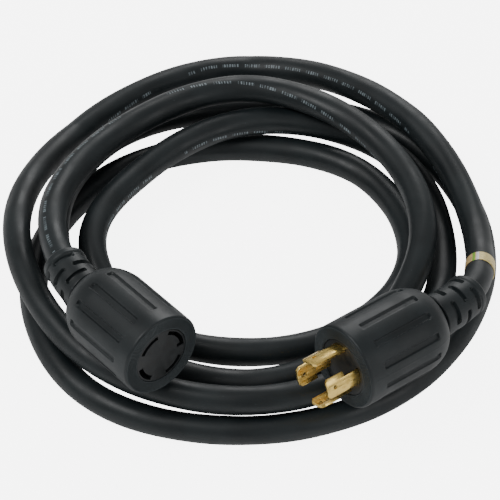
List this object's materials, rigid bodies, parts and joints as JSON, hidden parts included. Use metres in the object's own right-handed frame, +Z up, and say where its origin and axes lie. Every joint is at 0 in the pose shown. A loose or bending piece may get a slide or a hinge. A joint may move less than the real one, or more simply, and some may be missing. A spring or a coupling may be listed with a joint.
{
  "type": "shore power cord",
  "caption": "Coiled heavy rubber power cord with a four-blade locking plug on one end and the matching locking connector on the other.",
  "frame": {"origin": "centre of the footprint of the coiled cord, on the surface that it lies on", "axes": "+Z up; the plug and the connector lie at the coil's -Y side, the connector at -X and the plug at +X"},
  "size_m": [0.2978, 0.3242, 0.0865],
  "materials": {
    "cord_rubber": "extruded black rubber jacket, slightly dusty, faint lengthwise lines",
    "moulded_rubber": "moulded black rubber, fine satin grain",
    "insert_plastic": "black moulded insert",
    "brass": "bright stamped brass with light scuffs",
    "spring_brass": "rolled spring sheet",
    "tinned_metal": "tinned crimp barrel",
    "label_foil": "printed band with plain stripes",
    "insulation_line_1": "extruded insulation",
    "insulation_line_2": "extruded insulation",
    "insulation_neutral": "extruded insulation",
    "insulation_ground": "extruded insulation"
  },
  "bodies": {
    "root": {"power_cord": "cord_rubber", "cord_label_band": "label_foil", "connector_body": "moulded_rubber", "connector_face": "insert_plastic", "connector_contact_holder": "insert_plastic", "connector_strain_relief": "moulded_rubber", "plug_body": "moulded_rubber", "plug_face": "insert_plastic", "plug_blade_holder": "insert_plastic", "plug_strain_relief": "moulded_rubber", "plug_blade_line_1": "brass", "plug_blade_line_2": "brass", "plug_blade_neutral": "brass", "plug_blade_ground": "brass", "connector_contact_line_1": "spring_brass", "connector_contact_line_2": "spring_brass", "connector_contact_neutral": "spring_brass", "connector_contact_ground": "spring_brass", "plug_crimp_line_1": "tinned_metal", "plug_crimp_line_2": "tinned_metal", "plug_crimp_neutral": "tinned_metal", "plug_crimp_ground": "tinned_metal", "plug_wire_line_1": "insulation_line_1", "plug_wire_line_2": "insulation_line_2", "plug_wire_neutral": "insulation_neutral", "plug_wire_ground": "insulation_ground", "connector_crimp_line_1": "tinned_metal", "connector_crimp_line_2": "tinned_metal", "connector_crimp_neutral": "tinned_metal", "connector_crimp_ground": "tinned_metal", "connector_wire_line_1": "insulation_line_1", "connector_wire_line_2": "insulation_line_2", "connector_wire_neutral": "insulation_neutral", "connector_wire_ground": "insulation_ground"}
  },
  "joints": []
}
